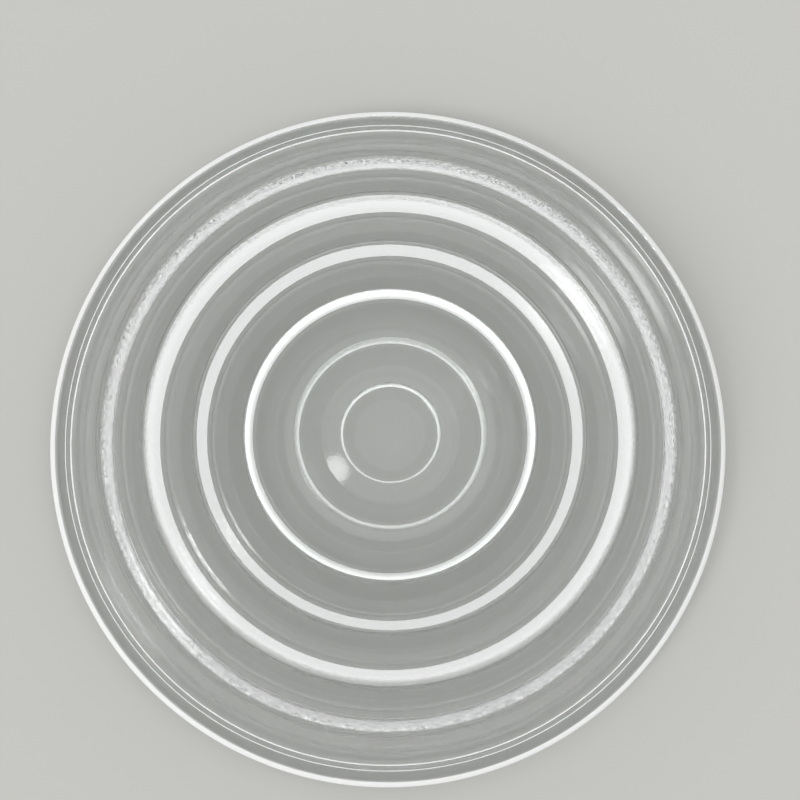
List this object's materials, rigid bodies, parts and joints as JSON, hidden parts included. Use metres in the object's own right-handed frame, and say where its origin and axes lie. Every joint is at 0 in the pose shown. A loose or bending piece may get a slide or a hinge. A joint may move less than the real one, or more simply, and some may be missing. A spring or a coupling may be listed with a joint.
{
  "type": "fresnel lens",
  "caption": "Round stepped condenser lens in clear pressed glass, with a flat stippled back, rounded grooves between raised rings and a thin flat flange round the rim.",
  "frame": {"origin": "centre of the flat back face", "axes": "+Z along the optical axis, out of the stepped face; the lens is round, so X and Y are any two directions across it"},
  "size_m": [0.08, 0.08, 0.01],
  "materials": {
    "glass": "clear pressed glass, fire-polished on the stepped face and finely stippled on the back"
  },
  "bodies": {
    "root": {"lens": "glass"}
  },
  "joints": []
}
